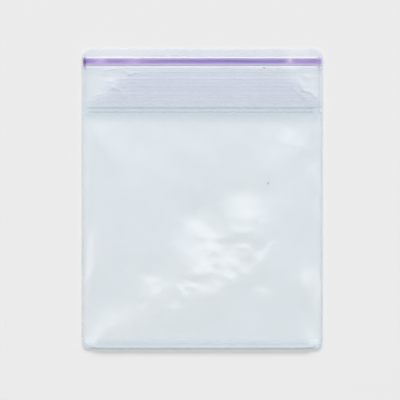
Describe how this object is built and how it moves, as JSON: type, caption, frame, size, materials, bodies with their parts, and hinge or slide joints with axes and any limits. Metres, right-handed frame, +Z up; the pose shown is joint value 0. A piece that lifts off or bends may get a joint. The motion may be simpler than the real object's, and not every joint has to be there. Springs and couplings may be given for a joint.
{
  "type": "resealable plastic bag",
  "caption": "Clear flat food bag with a folded bottom, welded sides, a coloured press-to-close closure under the mouth and a clear one below a ribbed grip band.",
  "frame": {"origin": "on the underside, below the middle of the bag", "axes": "+Z up through the front panel, +Y towards the mouth, +X to the right as the front panel is seen"},
  "size_m": [0.168, 0.211, 0.0047],
  "materials": {
    "film": "gloss",
    "coloured_strip": "satin",
    "clear_strip": "satin"
  },
  "bodies": {
    "root": {"film_pouch": "film", "closure_channel": "coloured_strip", "closure_rib": "coloured_strip", "lower_channel": "clear_strip", "lower_rib": "clear_strip"}
  },
  "joints": []
}
